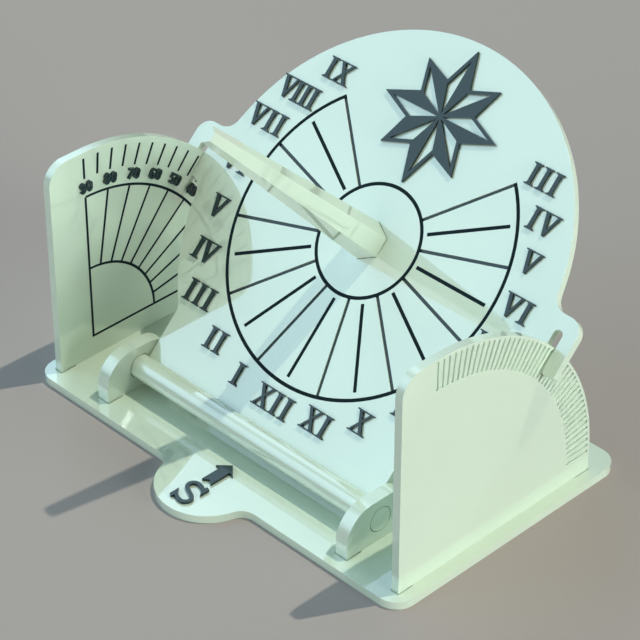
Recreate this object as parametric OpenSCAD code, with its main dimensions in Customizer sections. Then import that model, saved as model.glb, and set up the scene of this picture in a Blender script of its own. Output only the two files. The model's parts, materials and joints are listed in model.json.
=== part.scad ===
// Tilting equatorial sundial: a flat base carries two quadrant side plates and
// two hinge brackets, and a round dial plate swings between them on a pivot rod.
// The origin is on the underside of the base, below the middle of the hinge axis.
// +X points to the right of someone reading the dial, +Y to the back and +Z up.

/* [Dial plate] */
// Angle of the dial above the base at rest, in degrees
tilt = 44.5; // [0:0.5:90]
// Radius of the round dial
disc_r = 75; // [66:0.5:95]
// Distance from the disc down to the hinge axis
hinge_drop = 0.4; // [0:0.1:2]
// Thickness of the dial plate
dial_t = 3; // [2:0.25:4]
// Width of the dial's straight lower edge, between the hinge brackets
hinge_edge_w = 109; // [96:1:116]
// Radius that blends the disc into the sides of the lower edge
hinge_blend_r = 5; // [2:0.5:10]

/* [Ears of the dial plate] */
// Reach of an ear above and below the dial's centre line
ear_h = 10; // [8:0.5:14]
// Width of the finger outside the side plate
finger_w = 4.9; // [3:0.1:8]
// Radius of an ear's upper corner
ear_corner_r = 5.5; // [1:0.5:7]
// Radius of a finger's two lower corners
finger_corner_r = 1; // [0.5:0.25:1.5]
// Radius that blends the disc into an ear
ear_blend_r = 6; // [2:0.5:10]
// Clearance on each side of a side plate in its slot
slot_clear = 0.3; // [0.2:0.05:0.6]
// Reach of the slot above the dial's centre line
slot_spare = 4.8; // [3:0.1:6.5]
// Height of the detent tooth on the right finger
tooth_h = 0.18; // [0.1:0.01:0.18]
// Width of the detent tooth
tooth_w = 0.9; // [0.5:0.1:1.1]
// Distance from the dial's back to the middle of the tooth
tooth_back = 0.8; // [0.6:0.05:1]
// Distance from each end of a groove to the tooth
tooth_margin = 1; // [0.5:0.25:2]

/* [Side plates] */
// Thickness of each side plate
side_t = 3; // [2:0.25:5]
// Gap between the disc and each side plate
side_gap = 4.7; // [4:0.1:12]
// How far the rims of the side plates lie inside the disc's radius
rim_drop = 0.5; // [0:0.1:2]
// Reach of the side plates in front of the hinge axis
side_front = 15; // [12:0.5:25]
// Radius of the side plates' front top corner
side_corner_r = 8; // [2:0.5:12]
// Length of the tenons under the side plates and brackets
tenon_l = 6; // [3:0.5:10]
// Clearance all round a tenon in its mortise
tenon_clear = 0.3; // [0.1:0.05:0.5]
// How far the tenons stop short of the underside of the base
tenon_short = 0.2; // [0.1:0.1:1]

/* [Detent rack] */
// Angle from one groove to the next, in degrees
rack_pitch = 2; // [1.5:0.5:5]
// Angle of the lowest groove above the base, in degrees
rack_low = 0; // [0:2:20]
// Angle of the highest groove above the base, in degrees
rack_high = 90; // [60:2:90]
// Width of a groove
groove_w = 1.15; // [0.6:0.05:1.3]
// Depth of a groove
groove_depth = 0.6; // [0.3:0.1:1.2]
// Length of a groove
groove_l = 10.5; // [6:0.5:14]
// Distance from the rim to the grooves
groove_rim = 1; // [0.5:0.5:4]

/* [Hinge] */
// Height of the hinge axis above the base plate
hinge_h = 8.2; // [7:0.1:14]
// Radius of the pivot rod
rod_r = 4.4; // [3.6:0.1:5]
// Clearance between the rod and its bore, on the radius
bore_clear = 0.3; // [0.15:0.05:0.5]
// Thickness of each hinge bracket
bracket_t = 5; // [3:0.5:8]
// Reach of a bracket in front of and behind the axis
bracket_reach = 15; // [12:0.5:17]
// Height of a bracket above the axis
bracket_top = 8; // [7:0.5:10]
// Radius of a bracket's two upper corners
bracket_corner_r = 11; // [4:0.5:12]
// How far the dial's back lies inside the rod's surface
dial_inset = 0.6; // [0:0.1:1]
// Gap between the dial's lower edge and each bracket
hinge_gap = 0.5; // [0.3:0.1:1]

/* [Base plate] */
// Thickness of the base plate
base_t = 3; // [2:0.25:6]
// Reach of the base beyond the outer face of each side plate
base_side_edge = 4.5; // [3:0.5:20]
// Reach of the base in front of the side plates
base_front_edge = 5.3; // [3:0.1:20]
// Reach of the base behind the side plates
base_back_edge = 11.4; // [3:0.1:30]
// Radius of the base's four corners
base_corner_r = 7.5; // [2:0.5:15]
// Radius of the round tab at the front
tab_r = 18; // [16:0.5:30]
// Distance from the front edge back to the tab's centre
tab_set = 1; // [0:0.5:6]
// Radius that blends the tab into the front edge
tab_blend_r = 6; // [2:0.5:12]

/* [South mark] */
// How far the letter and the arrow stand to the right of the middle
mark_x = 0.4; // [0:0.1:1]
// Height of the raised letter and arrow above the base
mark_relief = 1; // [0.5:0.1:2]
// Height of the letter
letter_h = 11.2; // [7:0.1:12]
// Width of the letter
letter_w = 7.8; // [5:0.1:9]
// Width of the letter's stroke
letter_stroke = 1.3; // [1:0.1:2]
// Distance from the letter to the edge of the tab
letter_edge = 3.7; // [2:0.1:6]
// Gap between the letter and the arrow
arrow_gap = 1.8; // [1:0.1:3]
// Length of the arrow
arrow_l = 11.9; // [9:0.1:14]
// Width of the arrow's head
arrow_head_w = 8.2; // [6:0.1:10]
// Width of the arrow's shaft
arrow_shaft_w = 4.2; // [2:0.1:5]
// Length of the arrow's head
arrow_head_l = 3.8; // [3:0.1:5]
// How far the barbs of the head sweep back
arrow_sweep = 0.4; // [0.1:0.1:0.8]
// Depth of the notch in the arrow's tail
arrow_notch = 1.5; // [0.5:0.1:2]

/* [Gnomon] */
// Length of the gnomon above the dial
gnomon_l = 100; // [60:1:130]
// Corner radius of the six-sided gnomon at the dial
gnomon_r = 7; // [4:0.25:9]
// Corner radius of the gnomon at its tip
gnomon_tip_r = 3; // [1.5:0.25:4]
// Clearance between the gnomon's shank and the dial
shank_clear = 0.2; // [0.1:0.05:0.4]
// Reach of the flange beyond the shank, behind the dial
flange_reach = 2.5; // [1:0.25:4]
// Thickness of the flange
flange_t = 1; // [0.6:0.1:1.4]

/* [Hour scale] */
// Width of the numeral band, from the hour circle to the edge of the disc
numeral_band = 20; // [18:0.5:24]
// Radius of the circle round the gnomon
centre_ring_r = 20; // [14:0.5:24]
// Width of the two circles and of the even-hour lines
line_w = 1.3; // [0.6:0.1:2]
// Width of the odd-hour lines, which join the two circles
odd_line_w = 1.2; // [0.6:0.1:2]
// Distance from the circles to the ends of the even-hour lines
even_line_gap = 2; // [1:0.25:5]
// Depth of the grooves that hold the inlaid lines
inlay_depth = 1; // [0.6:0.1:1.2]
// How far the circles and even-hour lines lie below the surface
inlay_sink = 0.05; // [0.02:0.01:0.1]
// How far the odd-hour lines lie below the surface
odd_line_sink = 0.5; // [0.1:0.05:0.5]

/* [Numerals] */
// Height of the hour numerals
numeral_h = 8; // [5:0.25:8.5]
// Height of the numerals above the dial
numeral_relief = 0.9; // [0.5:0.1:2]
// Width of an upright stroke
stem_w = 1.35; // [1:0.05:2.6]
// Level width of the thin slanting strokes
hair_w = 0.85; // [0.5:0.05:1.8]
// Length of a serif on an upright stroke
serif_l = 3.4; // [2.6:0.1:4]
// Length of a serif on a V or an X
short_serif_l = 3.2; // [2.4:0.1:3.4]
// Thickness of a serif
serif_t = 0.5; // [0.3:0.05:1]
// Size of the gusset between a serif and an upright stroke
serif_gusset = 0.5; // [0.2:0.05:0.7]
// Distance from one upright letter to the next
stem_pitch = 4.6; // [4:0.1:5.5]
// Half the width of a V or an X, from serif tip to serif tip
broad_half = 3.5; // [3.4:0.1:4]
// Room that a V or an X takes beyond each serif tip
broad_room = 0.2; // [0:0.05:0.5]
// Distance from a serif tip of a V or an X in to the thick stroke
thick_inset = 0.6; // [0.2:0.1:1]
// Distance from a serif tip of a V or an X in to the thin stroke
thin_inset = 0.3; // [0.2:0.1:1]
// Width of the blunt point of the V
point_w = 0.55; // [0.3:0.05:0.8]

/* [Compass star] */
// Radius of the four long points
star_r = 25; // [18:0.5:27]
// Radius of the four diagonal points
star_diagonal_r = 22.8; // [15:0.1:26]
// Radius of the notches between the points
star_notch_r = 13.2; // [8:0.1:16]
// Width of the rim outside each opening
star_rim_w = 1.2; // [0.6:0.1:2]
// Half the width of the bars that meet at the star's centre
star_bar_w = 0.2; // [0.15:0.05:1]
// Height of the star above the dial
star_relief = 1; // [0.5:0.1:2]
// Distance from the star to the edge of the disc
star_edge = 2.8; // [1:0.1:6]

/* [Degree scale] */
// Width of the inlaid lines on the left side plate
degree_line_w = 1; // [0.4:0.05:1.2]
// Depth of the grooves that hold them
degree_inlay_depth = 0.6; // [0.4:0.1:1]
// How far they lie below the surface
degree_inlay_sink = 0.05; // [0.02:0.01:0.1]
// Distance from the rim to the five-degree marks
tick_rim = 2.2; // [1:0.1:4]
// Length of the five-degree marks
tick_l = 8; // [4:0.25:9]
// Gap between those marks and the degree numerals
tick_gap = 1; // [0.5:0.1:2]
// Height of the degree numerals
digit_h = 4; // [3:0.1:4.4]
// Width of one digit
digit_w = 2.55; // [1.8:0.05:2.8]
// Width of a digit's stroke
digit_stroke = 0.8; // [0.4:0.05:0.85]
// Gap between two digits
digit_gap = 0.3; // [0.2:0.05:0.8]
// Height of the degree numerals above the side plate
digit_relief = 1; // [0.5:0.1:1.5]
// Gap between the degree numerals and the outer arc
digit_arc_gap = 2.2; // [1:0.1:4]
// Radius of the inner arc
sector_inner_r = 28.1; // [20:0.1:36]

/* [Hidden] */
$fn = 96;

// Hour numerals: node name, letters, angle on the dial, reach beyond the hour circle
// and how close together the letters stand, where 1 is the usual pitch
HOURS = [
    ["numeral_morning_iii", "III", 43, 10.3, 1],
    ["numeral_morning_iv", "IV", 30, 9.1, 1],
    ["numeral_morning_v", "V", 17.7, 7, 1],
    ["numeral_morning_vi", "VI", 3.6, 8.7, 1],
    ["numeral_morning_vii", "VII", -9.7, 10.1, 1],
    ["numeral_morning_viii", "VIII", -25.5, 8.3, 0.83],
    ["numeral_morning_ix", "IX", -40.7, 8.2, 1],
    ["numeral_morning_x", "X", -56.7, 7.9, 1],
    ["numeral_morning_xi", "XI", -72.1, 8.2, 1],
    ["numeral_noon_xii", "XII", -89.6, 6.9, 1],
    ["numeral_afternoon_i", "I", -106.6, 7.9, 1],
    ["numeral_afternoon_ii", "II", -121.4, 8.9, 1],
    ["numeral_afternoon_iii", "III", -138, 10.9, 1],
    ["numeral_afternoon_iv", "IV", -152, 9.4, 0.82],
    ["numeral_afternoon_v", "V", -166.5, 8.5, 1],
    ["numeral_afternoon_vi", "VI", 178.1, 9.6, 1],
    ["numeral_afternoon_vii", "VII", 162.7, 10.5, 1],
    ["numeral_afternoon_viii", "VIII", 149.9, 10.3, 0.79],
    ["numeral_afternoon_ix", "IX", 135.6, 9.9, 1]
];

// Overlap of a cutter past the face that it cuts through
cut = 1;

// Heights and places that follow from the driving sizes
hinge_z = base_t + hinge_h;
dial_face = dial_t + dial_inset - rod_r;
hinge_reach = disc_r + hinge_drop;
rim_r = disc_r - rim_drop;
side_x = disc_r + side_gap;
side_out = side_x + side_t;
ear_out = side_out + slot_clear + finger_w;
bracket_in = hinge_edge_w / 2 + hinge_gap;
bracket_out = bracket_in + bracket_t;
base_half_w = side_out + base_side_edge;
base_front = side_front + base_front_edge;
base_back = rim_r + base_back_edge;
tab_y = tab_set - base_front;
hour_r = disc_r - numeral_band;
even_line_start = centre_ring_r + even_line_gap;
even_line_end = hour_r - line_w / 2 - even_line_gap;
star_y = disc_r - star_edge - star_r;
letter_y = tab_y - tab_r + letter_edge + letter_h / 2;
arrow_y = letter_y + letter_h / 2 + arrow_gap;
tooth_r = rim_r - groove_rim - groove_l;
tick_r = rim_r - tick_rim - tick_l;
digit_r = tick_r - tick_gap - digit_h / 2;
sector_r = digit_r - digit_h / 2 - digit_arc_gap;

// The hours from 3 in the morning to 9 in the evening, 15 degrees each
hour_step = 15;
first_hour_angle = 45;
last_hour_angle = -225;

body_mint = [0.80, 0.92, 0.88];
mark_slate = [0.27, 0.35, 0.42];
line_black = [0.02, 0.10, 0.12];

function along(a) = [cos(a), sin(a)];
// Where the line from p along u meets the line from q along v
function meet(p, u, q, v) = p + u * cross(q - p, v) / cross(u, v);

// Carries a piece from the dial's own plane, face at z = 0, to its tilted place
module on_dial() {
    translate([0, 0, hinge_z])
        rotate([tilt, 0, 0])
            translate([0, hinge_reach, dial_face])
                children();
}

// Stands a profile drawn round the hinge axis in the vertical plane at x
module upright(x, thick) {
    translate([x, 0, hinge_z])
        rotate([90, 0, 90])
            linear_extrude(thick)
                children();
}

// What a rounded corner takes off a square one, from the arc's centre
module corner_waste(r) {
    difference() {
        square(r + cut);
        circle(r);
    }
}

// Fills the inside corner between a circle of radius r_disc and the line y = line_y
module blend(r_disc, r_blend, line_y) {
    centre_y = line_y + r_blend;
    centre_x = sqrt(pow(r_disc + r_blend, 2) - pow(centre_y, 2));
    difference() {
        polygon([[0, 0], [centre_x, 0], [centre_x, centre_y]]);
        translate([centre_x, centre_y])
            circle(r_blend);
    }
}

module mirror_copy(axis) {
    children();
    mirror(axis)
        children();
}

// Part of a flat ring, from one angle round to another
module ring_arc(r, w, from, to) {
    steps = 6;
    reach = 2 * r;
    intersection() {
        difference() {
            circle(r + w / 2);
            circle(r - w / 2);
        }
        polygon(concat([[0, 0]], [for (i = [0:steps]) reach * along(from + (to - from) * i / steps)]));
    }
}

// Straight mark that lies along a radius
module radial_mark(angle, from, to, w) {
    rotate(angle)
        translate([from, -w / 2])
            square([to - from, w]);
}

/* Base plate */

module tab_outline() {
    translate([0, tab_y])
        mirror([0, 1]) {
            circle(tab_r);
            mirror_copy([1, 0])
                blend(tab_r, tab_blend_r, tab_set);
        }
}

module base_outline() {
    inset_x = base_half_w - base_corner_r;
    difference() {
        translate([-base_half_w, -base_front])
            square([2 * base_half_w, base_front + base_back]);
        mirror_copy([1, 0]) {
            translate([inset_x, base_back - base_corner_r])
                corner_waste(base_corner_r);
            translate([inset_x, base_corner_r - base_front])
                rotate(-90)
                    corner_waste(base_corner_r);
        }
    }
    tab_outline();
}

// Openings for a pair of tenons under a plate that stands from x_in to x_out
module mortises(x_in, x_out, y_front, y_back) {
    size = [x_out - x_in + 2 * tenon_clear, tenon_l + 2 * tenon_clear];
    for (y = [y_front, y_back - tenon_l])
        translate([x_in - tenon_clear, y - tenon_clear])
            square(size);
}

module base_plate() {
    color(body_mint)
        linear_extrude(base_t)
            difference() {
                base_outline();
                mirror_copy([1, 0]) {
                    mortises(side_x, side_out, -side_front, rim_r);
                    mortises(bracket_in, bracket_out, -bracket_reach, bracket_reach);
                }
            }
}

// Two feet under a standing plate, one at each end of its lower edge
module tenons(y_front, y_back) {
    foot = base_t - tenon_short;
    for (y = [y_front, y_back - tenon_l])
        translate([y, -hinge_h - foot])
            square([tenon_l, foot + cut]);
}

/* Side plates */

module side_outline() {
    intersection() {
        circle(rim_r);
        square(rim_r);
    }
    translate([0, -hinge_h])
        square([rim_r, hinge_h]);
    difference() {
        translate([-side_front, -hinge_h])
            square([side_front, hinge_h + rim_r]);
        translate([side_corner_r - side_front, rim_r - side_corner_r])
            rotate(90)
                corner_waste(side_corner_r);
    }
    tenons(-side_front, rim_r);
}

// One straight groove of the rack, along a radius in the outer face
module rack_groove(angle) {
    translate([side_out - groove_depth, 0, hinge_z])
        rotate([angle, 0, 0])
            translate([0, tooth_r, -groove_w / 2])
                cube([groove_depth + cut, groove_l, groove_w]);
}

module side_plate_rack() {
    color(body_mint)
        difference() {
            upright(side_x, side_t)
                side_outline();
            for (angle = [rack_low:rack_pitch:rack_high])
                rack_groove(angle);
        }
}

module side_plate_scale() {
    color(body_mint)
        difference() {
            upright(-side_out, side_t)
                side_outline();
            upright(-side_x - degree_inlay_depth, degree_inlay_depth + cut) {
                sector_lines();
                tick_lines();
            }
        }
}

/* Degree scale on the left side plate */

module sector_lines() {
    half = degree_line_w / 2;
    translate([-half, -half])
        square([sector_r + half, degree_line_w]);
    translate([-half, -half])
        square([degree_line_w, sector_r + half]);
    ring_arc(sector_r, degree_line_w, 0, 90);
    ring_arc(sector_inner_r, degree_line_w, 0, 90);
    for (angle = [10:10:80])
        radial_mark(angle, sector_inner_r, sector_r, degree_line_w);
}

module tick_lines() {
    for (angle = [0:5:90])
        radial_mark(angle, tick_r, tick_r + tick_l, degree_line_w);
}

module degree_inlay() {
    upright(-side_x - degree_inlay_depth, degree_inlay_depth - degree_inlay_sink)
        children();
}

module degree_sector() {
    color(line_black)
        degree_inlay()
            sector_lines();
}

module degree_ticks() {
    color(line_black)
        degree_inlay()
            tick_lines();
}

// Round-ended loop, such as a nought, with its lower end at y = 0
module digit_loop(w, h) {
    difference() {
        capsule(w, h);
        translate([0, digit_stroke])
            capsule(w - 2 * digit_stroke, h - 2 * digit_stroke);
    }
}

module capsule(w, h) {
    r = w / 2;
    translate([0, r])
        circle(r);
    translate([0, h - r])
        circle(r);
    translate([-r, r])
        square([w, max(h - w, 0.01)]);
}

// A straight stroke between two points
module stroke(a, b) {
    run = norm(b - a);
    slant = atan2(b[1] - a[1], b[0] - a[0]);
    translate(a)
        rotate(slant)
            translate([0, -digit_stroke / 2])
                square([run, digit_stroke]);
}

// The digits that the scale needs, standing on y = 0 and centred on x = 0
module digit(d) {
    w = digit_w;
    h = digit_h;
    s = digit_stroke;
    r = w / 2;
    if (d == "0")
        digit_loop(w, h);
    if (d == "1") {
        translate([-s / 2, 0])
            square([s, h]);
        stroke([0, h - s / 2], [-r * 0.8, h - 1.6 * s]);
    }
    if (d == "2") {
        translate([0, h - r])
            ring_arc(r - s / 2, s, -20, 170);
        stroke([r - s, h - r - s / 2], [s / 2 - r, s / 2]);
        translate([-r, 0])
            square([w, s]);
    }
    if (d == "3") {
        translate([0, h - r])
            ring_arc(r - s / 2, s, -90, 160);
        translate([0, r])
            ring_arc(r - s / 2, s, -160, 90);
    }
    if (d == "4") {
        translate([r - 1.6 * s, 0])
            square([s, h]);
        translate([-r, h * 0.25])
            square([w, s]);
        stroke([r - 1.2 * s, h - s / 2], [s / 2 - r, h * 0.25 + s / 2]);
    }
    if (d == "5") {
        translate([0, r])
            ring_arc(r - s / 2, s, -150, 120);
        translate([-r, h - s])
            square([w, s]);
        translate([-r, h / 2])
            square([s, h / 2]);
    }
    if (d == "6") {
        digit_loop(w, h * 0.62);
        translate([0, h - r])
            ring_arc(r - s / 2, s, 30, 180);
        translate([-r, r])
            square([s, h - w]);
    }
    if (d == "7") {
        translate([-r, h - s])
            square([w, s]);
        stroke([r - s / 2, h - s / 2], [-s / 2, 0]);
    }
    if (d == "8") {
        digit_loop(w, h * 0.6);
        translate([0, h * 0.6 - s])
            digit_loop(w, h * 0.4 + s);
    }
    if (d == "9")
        translate([0, h])
            rotate(180)
                digit("6");
}

// A whole number centred on x = 0, its foot towards the hinge axis
module degree_number(value) {
    text = str(value);
    pitch = digit_w + digit_gap;
    for (i = [0:len(text) - 1])
        translate([(i - (len(text) - 1) / 2) * pitch, -digit_h / 2])
            digit(text[i]);
}

module degree_numerals() {
    color(mark_slate)
        upright(-side_x, digit_relief)
            for (value = [0:10:90])
                rotate(value - 90)
                    translate([0, digit_r])
                        degree_number(value);
}

/* Hinge */

module bracket_outline() {
    inset_y = bracket_reach - bracket_corner_r;
    difference() {
        translate([-bracket_reach, -hinge_h])
            square([2 * bracket_reach, hinge_h + bracket_top]);
        mirror_copy([1, 0])
            translate([inset_y, bracket_top - bracket_corner_r])
                corner_waste(bracket_corner_r);
        circle(rod_r + bore_clear);
    }
    tenons(-bracket_reach, bracket_reach);
}

module hinge_bracket_right() {
    color(body_mint)
        upright(bracket_in, bracket_t)
            bracket_outline();
}

module hinge_bracket_left() {
    color(body_mint)
        upright(-bracket_out, bracket_t)
            bracket_outline();
}

// Round rod with a rebate over the width of the dial, where the plate's edge seats
module pivot_rod() {
    color(body_mint)
        translate([0, 0, hinge_z])
            rotate([tilt, 0, 0])
                difference() {
                    translate([-bracket_out, 0, 0])
                        rotate([0, 90, 0])
                            cylinder(h = 2 * bracket_out, r = rod_r);
                    translate([-hinge_edge_w / 2, 0, -rod_r - cut])
                        cube([hinge_edge_w, rod_r + cut, dial_face + rod_r + cut]);
                }
}

/* Dial plate */

// The ear and its blends on the right, before its slot is cut
module ear_outline() {
    root = disc_r - ear_h;
    difference() {
        translate([root, -ear_h])
            square([ear_out - root, 2 * ear_h]);
        translate([ear_out - ear_corner_r, ear_h - ear_corner_r])
            corner_waste(ear_corner_r);
        translate([ear_out - finger_corner_r, finger_corner_r - ear_h])
            rotate(-90)
                corner_waste(finger_corner_r);
    }
    mirror_copy([0, 1])
        blend(disc_r, ear_blend_r, ear_h);
}

// The slot that straddles a side plate: round at the top and open at the bottom
module slot_outline() {
    slot_w = side_t + 2 * slot_clear;
    top_y = slot_spare - slot_w / 2;
    translate([side_x + side_t / 2, top_y])
        circle(slot_w / 2);
    translate([side_x - slot_clear, -ear_h - cut])
        square([slot_w, top_y + ear_h + cut]);
    translate([side_out + slot_clear + finger_corner_r, finger_corner_r - ear_h])
        rotate(180)
            corner_waste(finger_corner_r);
}

module dial_outline() {
    half = hinge_edge_w / 2;
    circle(disc_r);
    translate([-half, -hinge_reach])
        square([hinge_edge_w, hinge_reach]);
    mirror_copy([1, 0]) {
        rotate(-90)
            blend(disc_r, hinge_blend_r, half);
        difference() {
            ear_outline();
            slot_outline();
        }
    }
}

// Grooves in the dial for the inlaid lines
module line_grooves() {
    translate([0, 0, -inlay_depth])
        linear_extrude(inlay_depth + cut) {
            hour_circle();
            centre_circle();
            even_marks();
            odd_marks();
        }
}

// Six-sided hole for the shank, with a step behind for the flange
module shank_hole() {
    translate([0, 0, -dial_t - cut])
        six_sided(dial_t + 2 * cut, gnomon_r + shank_clear);
    translate([0, 0, -dial_t - cut])
        six_sided(flange_t + cut, gnomon_r + flange_reach + shank_clear);
}

// Ridge on the right finger that faces the rack and stops just short of its ribs
module detent_tooth() {
    foot = tooth_w / 2;
    crest = tooth_w / 4;
    translate([side_out + slot_clear, tooth_r - hinge_reach + tooth_margin, tooth_back - dial_t])
        rotate([-90, 0, 0])
            linear_extrude(groove_l - 2 * tooth_margin)
                polygon([[0, -foot], [0, foot], [-tooth_h, crest], [-tooth_h, -crest]]);
}

module dial_plate() {
    color(body_mint)
        on_dial() {
            difference() {
                translate([0, 0, -dial_t])
                    linear_extrude(dial_t)
                        dial_outline();
                line_grooves();
                shank_hole();
            }
            detent_tooth();
        }
}

/* Gnomon */

module six_sided(h, r) {
    rotate(30)
        cylinder(h = h, r = r, $fn = 6);
}

// Solid whose six sides all have the same profile, drawn across its flats
module six_sides(r) {
    intersection_for(angle = [0, 60, 120])
        rotate(angle)
            rotate([90, 0, 0])
                linear_extrude(2 * r, center = true)
                    children();
}

module gnomon() {
    flat = gnomon_r * cos(30);
    tip_flat = gnomon_tip_r * cos(30);
    color(body_mint)
        on_dial() {
            six_sides(gnomon_r)
                polygon([
                    [-flat, -dial_t], [flat, -dial_t], [flat, 0],
                    [tip_flat, gnomon_l], [-tip_flat, gnomon_l], [-flat, 0]
                ]);
            translate([0, 0, -dial_t])
                six_sided(flange_t, gnomon_r + flange_reach);
        }
}

/* Hour scale */

// The open circle, whose ends are flush with the outer sides of its first and last lines
module hour_circle() {
    half_line = asin(odd_line_w / 2 / hour_r);
    ring_arc(hour_r, line_w, last_hour_angle - half_line, first_hour_angle + half_line);
}

module centre_circle() {
    difference() {
        circle(centre_ring_r + line_w / 2);
        circle(centre_ring_r - line_w / 2);
    }
}

module even_marks() {
    for (angle = [first_hour_angle - hour_step:-2 * hour_step:last_hour_angle])
        radial_mark(angle, even_line_start, even_line_end, line_w);
}

// Lines that run from one circle to the other, without entering either
module odd_marks() {
    difference() {
        intersection() {
            for (angle = [first_hour_angle:-2 * hour_step:last_hour_angle])
                radial_mark(angle, 0, hour_r, odd_line_w);
            circle(hour_r - line_w / 2);
        }
        circle(centre_ring_r + line_w / 2);
    }
}

module dial_inlay(sink) {
    color(line_black)
        on_dial()
            translate([0, 0, -inlay_depth])
                linear_extrude(inlay_depth - sink)
                    children();
}

module hour_arc() {
    dial_inlay(inlay_sink)
        hour_circle();
}

module centre_ring() {
    dial_inlay(inlay_sink)
        centre_circle();
}

module odd_hour_lines() {
    dial_inlay(odd_line_sink)
        odd_marks();
}

module even_hour_lines() {
    dial_inlay(inlay_sink)
        even_marks();
}

/* Hour numerals */

// Serif of length l, centred on x, with its lower side at y
module serif(x, y, l) {
    translate([x - l / 2, y])
        square([l, serif_t]);
}

// Fills the corners between an upright stroke and its serif
module gusset() {
    half = stem_w / 2;
    polygon([
        [-half - serif_gusset, 0], [half + serif_gusset, 0],
        [half, serif_gusset], [-half, serif_gusset]
    ]);
}

module letter_i() {
    translate([0, numeral_h / 2]) {
        square([stem_w, numeral_h], center = true);
        mirror_copy([0, 1])
            translate([0, -numeral_h / 2]) {
                serif(0, 0, serif_l);
                translate([0, serif_t])
                    gusset();
            }
    }
}

// Slanting stroke of level width w, from x_low at the foot to x_high at the top
module slant(x_low, x_high, w) {
    half = w / 2;
    polygon([
        [x_low - half, 0], [x_low + half, 0],
        [x_high + half, numeral_h], [x_high - half, numeral_h]
    ]);
}

// Middle of a serif of a V or an X, and the outer sides of its two strokes at their ends
serif_x = broad_half - short_serif_l / 2;
thick_side = broad_half - thick_inset;
thin_side = broad_half - thin_inset;

// A thick and a thin stroke that are trimmed to meet in one blunt point
module letter_v() {
    intersection() {
        union() {
            slant((stem_w - point_w) / 2, stem_w / 2 - thick_side, stem_w);
            slant((point_w - hair_w) / 2, thin_side - hair_w / 2, hair_w);
        }
        polygon([[-point_w / 2, 0], [point_w / 2, 0], [thin_side, numeral_h], [-thick_side, numeral_h]]);
    }
    for (x = [-serif_x, serif_x])
        serif(x, numeral_h - serif_t, short_serif_l);
}

module letter_x() {
    thick = thick_side - stem_w / 2;
    thin = thin_side - hair_w / 2;
    slant(thick, -thick, stem_w);
    slant(-thin, thin, hair_w);
    for (x = [-serif_x, serif_x], y = [0, numeral_h - serif_t])
        serif(x, y, short_serif_l);
}

function half_width(c) = c == "I" ? stem_pitch / 2 : broad_half + broad_room;

// Width of the first n letters of a numeral
function run(text, n) = n == 0 ? 0 : run(text, n - 1) + 2 * half_width(text[n - 1]);

// A numeral centred on the origin, with its letters drawn closer together by squeeze
module roman(text, squeeze) {
    total = run(text, len(text));
    for (i = [0:len(text) - 1]) {
        x = run(text, i) + half_width(text[i]) - total / 2;
        translate([x * squeeze, -numeral_h / 2]) {
            if (text[i] == "I")
                letter_i();
            if (text[i] == "V")
                letter_v();
            if (text[i] == "X")
                letter_x();
        }
    }
}

module hour_numeral(h) {
    color(mark_slate)
        on_dial()
            translate((hour_r + h[3]) * along(h[2]))
                linear_extrude(numeral_relief)
                    roman(h[1], h[4]);
}

/* Compass star */

// Opening in the left half of a point, seen along the point
module star_opening(angle, tip_r) {
    notch_angle = angle + 22.5;
    tip = tip_r * along(angle);
    edge = star_notch_r * along(notch_angle) - tip;
    inward = [-edge[1], edge[0]] / norm(edge);
    axis_start = star_bar_w * along(angle + 90);
    notch_start = star_bar_w * along(notch_angle - 90);
    edge_start = tip + star_rim_w * inward;
    polygon([
        meet(axis_start, along(angle), notch_start, along(notch_angle)),
        meet(axis_start, along(angle), edge_start, edge),
        meet(notch_start, along(notch_angle), edge_start, edge)
    ]);
}

function star_tip_r(k) = k % 2 == 0 ? star_r : star_diagonal_r;

module star_outline() {
    points = 8;
    step = 360 / points;
    difference() {
        polygon([for (k = [0:points - 1], half = [0, 1])
            (half == 0 ? star_tip_r(k) : star_notch_r) * along((k + half / 2) * step)]);
        for (k = [0:points - 1])
            star_opening(k * step, star_tip_r(k));
    }
}

module compass_star() {
    color(mark_slate)
        on_dial()
            translate([0, star_y, 0])
                linear_extrude(star_relief)
                    star_outline();
}

/* South mark */

module south_arrow() {
    shaft = arrow_shaft_w / 2;
    head = arrow_head_w / 2;
    barb_y = arrow_l - arrow_head_l;
    neck_y = barb_y + arrow_sweep;
    color(mark_slate)
        translate([mark_x, arrow_y, base_t])
            linear_extrude(mark_relief)
                polygon([
                    [-shaft, 0], [0, arrow_notch], [shaft, 0], [shaft, neck_y],
                    [head, barb_y], [0, arrow_l], [-head, barb_y], [-shaft, neck_y]
                ]);
}

// Upper half of the letter: a bowl, a flatter lip over it and half of the spine
module letter_half() {
    mid_h = (letter_h - letter_stroke) / 2;
    bowl_r = 0.43 * mid_h;
    lip_r = 2.7 * bowl_r;
    bowl = [bowl_r - (letter_w - letter_stroke) / 2, mid_h - bowl_r];
    heading = asin(bowl_r / norm(bowl)) - atan2(bowl[1], -bowl[0]);
    spine_start = bowl + bowl_r * along(heading - 90);
    lap = 0.1;
    translate(bowl)
        ring_arc(bowl_r, letter_stroke, 90, heading + 270);
    translate([bowl[0], mid_h - lip_r])
        ring_arc(lip_r, letter_stroke, 48, 92);
    translate(spine_start)
        rotate(heading)
            translate([-lap, -letter_stroke / 2])
                square([norm(spine_start) + 2 * lap, letter_stroke]);
}

// Pointed serif that stands at the upper right end of the letter
module letter_serif() {
    polygon([
        [letter_w / 2, letter_h * 0.1], [letter_w / 2, letter_h * 0.46],
        [letter_w * 0.34, letter_h / 2], [letter_w * 0.25, letter_h * 0.33]
    ]);
}

module south_letter() {
    color(mark_slate)
        translate([mark_x, letter_y, base_t])
            linear_extrude(mark_relief)
                for (turn = [0, 180])
                    rotate(turn) {
                        letter_half();
                        letter_serif();
                    }
}

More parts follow.
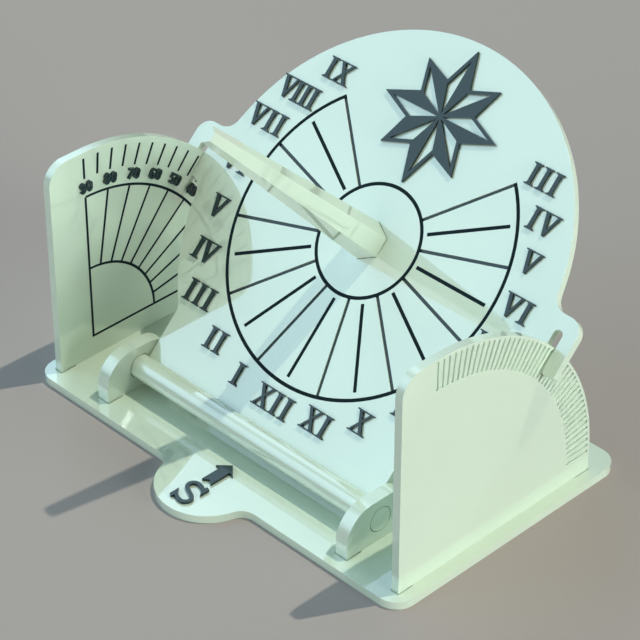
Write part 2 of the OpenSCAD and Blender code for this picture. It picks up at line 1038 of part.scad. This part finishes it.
base_plate();
side_plate_scale();
side_plate_rack();
hinge_bracket_left();
hinge_bracket_right();
pivot_rod();
dial_plate();
gnomon();
compass_star();
south_arrow();
south_letter();
hour_arc();
centre_ring();
odd_hour_lines();
even_hour_lines();
degree_sector();
degree_ticks();
degree_numerals();
for (h = HOURS)
    hour_numeral(h);
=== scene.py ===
"""Looks of a tilting equatorial sundial in polished pale mint plastic.

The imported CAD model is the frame. Every node keeps its place and gets a procedural plastic:
mint for the plates, hinge and gnomon, slate for the raised marks and the odd-hour lines, and
blue-black for the other inlaid lines. The floor, the lights and the camera follow the photograph.
"""
import json
import math

import bpy
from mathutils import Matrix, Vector

MM = 0.001

# Camera: where it looks from, what it aims at and its lens, all fitted to the photograph. An
# azimuth of 0 is in front of the object, and 90 degrees is on its right. Lengths are in metres.
CAMERA_AZIMUTH = math.radians(45.58)
CAMERA_ELEVATION = math.radians(35.38)
CAMERA_AIM = Vector((-3.34, 35.2, 39.1)) * MM
CAMERA_DISTANCE = 906.4 * MM
LENS_MM = 153.4
SENSOR_MM = 36.0
NEAR_CLIP = 0.01
FAR_CLIP = 20.0

# The key light comes over the object's back, a little from the right, as the photograph's shadows
# show. It is a sun, so where its lamp stands changes nothing in the light.
KEY_TRAVEL = Vector((-0.186, -0.333, -0.924))
KEY_STAND_OFF = 2.0
KEY_SOFTNESS = math.radians(0.8)
KEY_STRENGTH = 1.52
KEY_COLOUR = (1.0, 0.95, 0.80)

# Soft panels of light round a dark studio, which the polished faces mirror. Each has an azimuth,
# an elevation and a spread in degrees, a strength and a tint. Seen from the camera, the dial
# mirrors the first and the base the third. The last lights the right plate's outer face.
SKY_TINT = (0.60, 0.85, 1.0)
WHITE_TINT = (0.93, 1.0, 0.96)
PANELS = [
    (-45, 36, 36, 1.9, SKY_TINT),
    (-105, 36, 30, 2.2, SKY_TINT),
    (-138, 36, 26, 0.6, SKY_TINT),
    (0, 7, 40, 1.7, WHITE_TINT),
    (180, 4, 34, 0.8, WHITE_TINT),
    (97, 4, 22, 17.0, WHITE_TINT),
]

# Floor: a plain pale board, far wider than the view
FLOOR_SIDE = 8.0
FLOOR_COLOUR = (0.395, 0.352, 0.340)
FLOOR_PATCH = 400 * MM
FLOOR_MOTTLE = 0.02
FLOOR_ROUGHNESS = 0.75
FLOOR_IOR = 1.4

# One plastic for each material slot. Each sets the colour its edges lighten to, partly from rubbed
# wear and partly as a painted highlight along the edges; mottle is how far the pigment strays from its
# colour, and edge_radius rounds the edges in the shading.
PLASTICS = {
    "body": {
        "name": "mint_plastic",
        "colour": (0.680, 0.815, 0.675),
        "wear_and_sheen_edge_colour": (0.78, 0.90, 0.78),
        "roughness": 0.04,
        "mottle": 0.02,
        "edge_radius": 0.15 * MM,
        "specular": 0.5,
        "coat": 1.0,
        "coat_ior": 2.2,
    },
    "lettering": {
        "name": "slate_plastic",
        "colour": (0.012, 0.030, 0.034),
        "wear_and_sheen_edge_colour": (0.05, 0.09, 0.10),
        "roughness": 0.08,
        "mottle": 0.08,
        "edge_radius": 0.08 * MM,
        "specular": 0.5,
        "coat": 0.0,
        "coat_ior": 1.5,
    },
    "inlay": {
        "name": "inlay_plastic",
        "colour": (0.004, 0.015, 0.020),
        "wear_and_sheen_edge_colour": (0.02, 0.05, 0.06),
        "roughness": 0.55,
        "mottle": 0.10,
        "edge_radius": 0.05 * MM,
        "specular": 0.1,
        "coat": 0.0,
        "coat_ior": 1.5,
    },
}
PLASTIC_IOR = 1.53
COAT_ROUGHNESS = 0.02

# Marks that all the plastics share. A patch is how far across each kind is, and a roughness is the
# most that it adds. Wear reaches WEAR_WIDTH in from an edge, and orange peel is PEEL_HEIGHT deep.
PIGMENT_PATCH = 45 * MM
WEAR_PATCH = 6 * MM
WEAR_WIDTH = 0.45 * MM
WEAR_ROUGHNESS = 0.12
HAZE_PATCH = 28 * MM
HAZE_ROUGHNESS = 0.05
FLECK_PATCH = 0.9 * MM
FLECK_ROUGHNESS = 0.04
PEEL_PATCH = 5 * MM
PEEL_HEIGHT = 0.003 * MM

# Edges are found by the cosine between a rounded normal and the true one: a flat has FLAT_COSINE
# or more, and the middle of an edge EDGE_COSINE or less
FLAT_COSINE = 0.995
EDGE_COSINE = 0.85
BEVEL_SAMPLES = 6


class NodeTree:
    """Short names for adding and joining shader nodes."""

    def __init__(self, tree):
        self.tree = tree
        self.tree.nodes.clear()

    def add(self, kind, inputs=None, **settings):
        node = self.tree.nodes.new("ShaderNode" + kind)
        for key, value in settings.items():
            setattr(node, key, value)
        for key, value in (inputs or {}).items():
            if isinstance(value, bpy.types.NodeSocket):
                self.tree.links.new(value, node.inputs[key])
            else:
                node.inputs[key].default_value = value
        return node

    def noise(self, place, size, detail, roughness=0.5):
        """Noise whose patches are about size metres across."""
        inputs = {"Vector": place, "Scale": 1.0 / size, "Detail": detail, "Roughness": roughness}
        return self.add("TexNoise", inputs).outputs["Fac"]

    def remap(self, value, start, end, low, high):
        """Goes from low to high as the value goes from start to end."""
        inputs = {"Value": value, "From Min": start, "From Max": end, "To Min": low, "To Max": high}
        return self.add("MapRange", inputs).outputs["Result"]

    def multiply(self, a, b):
        return self.add("Math", {0: a, 1: b}, operation="MULTIPLY").outputs["Value"]

    def total(self, a, b, clamp=False):
        return self.add("Math", {0: a, 1: b}, operation="ADD", use_clamp=clamp).outputs["Value"]

    def dot(self, a, b):
        return self.add("VectorMath", {0: a, 1: b}, operation="DOT_PRODUCT").outputs["Value"]

    def rounded_normal(self, radius):
        """The surface's normal, as if its edges were rounded to that radius."""
        return self.add("Bevel", {"Radius": radius}, samples=BEVEL_SAMPLES).outputs["Normal"]

    def mix(self, factor, a, b):
        """Colour a where the factor is 0 and colour b where it is 1."""
        node = self.add("Mix", {0: factor}, data_type="RGBA")
        for socket, value in ((6, a), (7, b)):
            if isinstance(value, bpy.types.NodeSocket):
                self.tree.links.new(value, node.inputs[socket])
            else:
                node.inputs[socket].default_value = (*value, 1.0)
        return node.outputs[2]


def edge_mask(nodes, width):
    """1 on an edge or corner, 0 on a flat, from how far a rounded normal leans off the true one."""
    rounded = nodes.rounded_normal(width)
    true = nodes.add("NewGeometry").outputs["Normal"]
    agreement = nodes.dot(rounded, true)
    return nodes.remap(agreement, FLAT_COSINE, EDGE_COSINE, 0.0, 1.0)


def plastic(name, colour, wear_and_sheen_edge_colour, roughness, mottle, edge_radius, specular, coat, coat_ior):
    """Polished moulded plastic: faint mottling, orange peel, handling marks, and edges lightened
    partly by rubbing and partly as a painted highlight.
    """
    material = bpy.data.materials.new(name)
    material.use_nodes = True
    nodes = NodeTree(material.node_tree)
    place = nodes.add("TexCoord").outputs["Object"]

    # Noise strays about 0.5, and each remap takes the part of its range where that kind of mark
    # shows. The lightening of an edge, partly rubbed wear and partly painted highlight, comes and goes
    # between 0.15 and 0.75.

    # Colour: slow mottling of the pigment, then the edges, lightened partly by rubbing and partly as a
    # painted highlight
    patches = nodes.noise(place, PIGMENT_PATCH, detail=3.0)
    deeper = tuple(c * (1.0 - mottle) for c in colour)
    paler = tuple(min(1.0, c * (1.0 + mottle)) for c in colour)
    pigment = nodes.mix(nodes.remap(patches, 0.35, 0.65, 0.0, 1.0), deeper, paler)
    broken = nodes.remap(nodes.noise(place, WEAR_PATCH, detail=4.0), 0.42, 0.62, 0.15, 0.75)
    wear_and_sheen_mask = nodes.multiply(edge_mask(nodes, WEAR_WIDTH), broken)
    # Painted highlight: every edge is lightened alike, whatever the light, on top of the rubbed wear
    base = nodes.mix(wear_and_sheen_mask, pigment, wear_and_sheen_edge_colour)

    # Gloss: hazier where hands have been, with fine flecks, and duller on the rubbed edges
    handled = nodes.noise(place, HAZE_PATCH, detail=5.0, roughness=0.6)
    haze = nodes.remap(handled, 0.40, 0.72, 0.0, HAZE_ROUGHNESS)
    flecks = nodes.remap(nodes.noise(place, FLECK_PATCH, detail=2.0), 0.60, 0.75, 0.0, FLECK_ROUGHNESS)
    dulled = nodes.multiply(wear_and_sheen_mask, WEAR_ROUGHNESS)
    marks = nodes.total(haze, flecks)
    worn = nodes.total(marks, dulled)
    gloss = nodes.total(worn, roughness, clamp=True)

    # Surface: orange peel a few thousandths of a millimetre deep over softly rounded edges
    rounded = nodes.rounded_normal(edge_radius)
    swell = nodes.noise(place, PEEL_PATCH, detail=1.0)
    normal = nodes.add("Bump", {
        "Strength": 1.0,
        "Distance": PEEL_HEIGHT,
        "Height": swell,
        "Normal": rounded,
    }).outputs["Normal"]

    shader = nodes.add("BsdfPrincipled", {
        "Base Color": base,
        "Roughness": gloss,
        "Normal": normal,
        "IOR": PLASTIC_IOR,
        "Specular IOR Level": specular,
        "Coat Weight": coat,
        "Coat Roughness": COAT_ROUGHNESS,
        "Coat IOR": coat_ior,
    })
    nodes.add("OutputMaterial", {"Surface": shader.outputs["BSDF"]})
    return material


def floor_material():
    """Dull pale board, very faintly mottled."""
    material = bpy.data.materials.new("pale_floor")
    material.use_nodes = True
    nodes = NodeTree(material.node_tree)
    place = nodes.add("TexCoord").outputs["Object"]
    patches = nodes.remap(nodes.noise(place, FLOOR_PATCH, detail=3.0), 0.3, 0.7, 0.0, 1.0)
    deeper = tuple((1.0 - FLOOR_MOTTLE) * c for c in FLOOR_COLOUR)
    colour = nodes.mix(patches, deeper, FLOOR_COLOUR)
    shader = nodes.add("BsdfPrincipled", {
        "Base Color": colour,
        "Roughness": FLOOR_ROUGHNESS,
        "IOR": FLOOR_IOR,
    })
    nodes.add("OutputMaterial", {"Surface": shader.outputs["BSDF"]})
    return material


def dress_nodes(frame):
    """Gives every CAD node the plastic of its material slot."""
    looks = {slot: plastic(**settings) for slot, settings in PLASTICS.items()}
    for subpart in frame["record"]["subparts"]:
        node = frame["nodes"][subpart["node"]]
        node.data.materials.clear()
        node.data.materials.append(looks[subpart["material_slot"]])


def make_floor():
    """A square board at the height of the base plate's underside."""
    half = FLOOR_SIDE / 2
    corners = [(-half, -half, 0), (half, -half, 0), (half, half, 0), (-half, half, 0)]
    mesh = bpy.data.meshes.new("floor")
    mesh.from_pydata(corners, [], [(0, 1, 2, 3)])
    mesh.materials.append(floor_material())
    floor = bpy.data.objects.new("floor", mesh)
    bpy.context.scene.collection.objects.link(floor)


def towards(azimuth, elevation):
    """Unit vector from the object to a place at that azimuth and elevation."""
    level = math.cos(elevation)
    return Vector((math.sin(azimuth) * level, -math.cos(azimuth) * level, math.sin(elevation)))


def make_key_light():
    light = bpy.data.lights.new("key", "SUN")
    light.energy = KEY_STRENGTH
    light.color = KEY_COLOUR
    light.angle = KEY_SOFTNESS
    lamp = bpy.data.objects.new("key", light)
    lamp.location = -KEY_STAND_OFF * KEY_TRAVEL
    lamp.rotation_mode = "QUATERNION"
    lamp.rotation_quaternion = KEY_TRAVEL.to_track_quat("-Z", "Y")
    bpy.context.scene.collection.objects.link(lamp)


def panel_light(nodes, direction, panel):
    """Light of one soft panel, strongest in its middle and fading to nothing at its rim."""
    azimuth, elevation, spread, strength, tint = panel
    colour = tuple(strength * channel for channel in tint)
    middle = towards(math.radians(azimuth), math.radians(elevation))
    nearness = nodes.dot(direction, middle)
    rim = math.cos(math.radians(spread))
    inputs = {"Value": nearness, "From Min": rim, "From Max": 1.0, "To Min": 0.0, "To Max": 1.0}
    fade = nodes.add("MapRange", inputs, interpolation_type="SMOOTHSTEP").outputs["Result"]
    return nodes.add("VectorMath", {0: colour, "Scale": fade}, operation="SCALE").outputs["Vector"]


def make_studio():
    """A world that is dark but for the soft panels."""
    world = bpy.data.worlds.new("studio")
    world.use_nodes = True
    bpy.context.scene.world = world
    nodes = NodeTree(world.node_tree)
    direction = nodes.add("TexCoord").outputs["Generated"]
    light = panel_light(nodes, direction, PANELS[0])
    for panel in PANELS[1:]:
        added = panel_light(nodes, direction, panel)
        light = nodes.add("VectorMath", {0: light, 1: added}, operation="ADD").outputs["Vector"]
    background = nodes.add("Background", {"Color": light, "Strength": 1.0})
    nodes.add("OutputWorld", {"Surface": background.outputs["Background"]})


def make_camera():
    away = towards(CAMERA_AZIMUTH, CAMERA_ELEVATION)
    data = bpy.data.cameras.new("camera")
    data.lens = LENS_MM
    data.sensor_width = SENSOR_MM
    data.clip_start = NEAR_CLIP
    data.clip_end = FAR_CLIP
    camera = bpy.data.objects.new("camera", data)
    camera.location = CAMERA_AIM + CAMERA_DISTANCE * away
    camera.rotation_mode = "QUATERNION"
    camera.rotation_quaternion = (-away).to_track_quat("-Z", "Y")
    bpy.context.scene.collection.objects.link(camera)
    bpy.context.scene.camera = camera


with open("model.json") as file:
    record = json.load(file)
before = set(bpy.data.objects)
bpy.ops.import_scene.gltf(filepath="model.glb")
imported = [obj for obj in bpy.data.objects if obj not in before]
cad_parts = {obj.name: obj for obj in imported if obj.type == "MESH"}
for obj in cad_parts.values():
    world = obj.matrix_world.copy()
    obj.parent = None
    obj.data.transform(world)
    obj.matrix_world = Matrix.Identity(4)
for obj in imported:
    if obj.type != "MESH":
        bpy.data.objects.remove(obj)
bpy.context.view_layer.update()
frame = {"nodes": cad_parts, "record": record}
dress_nodes(frame)
make_floor()
make_key_light()
make_studio()
make_camera()
bpy.context.scene.view_settings.view_transform = "Standard"
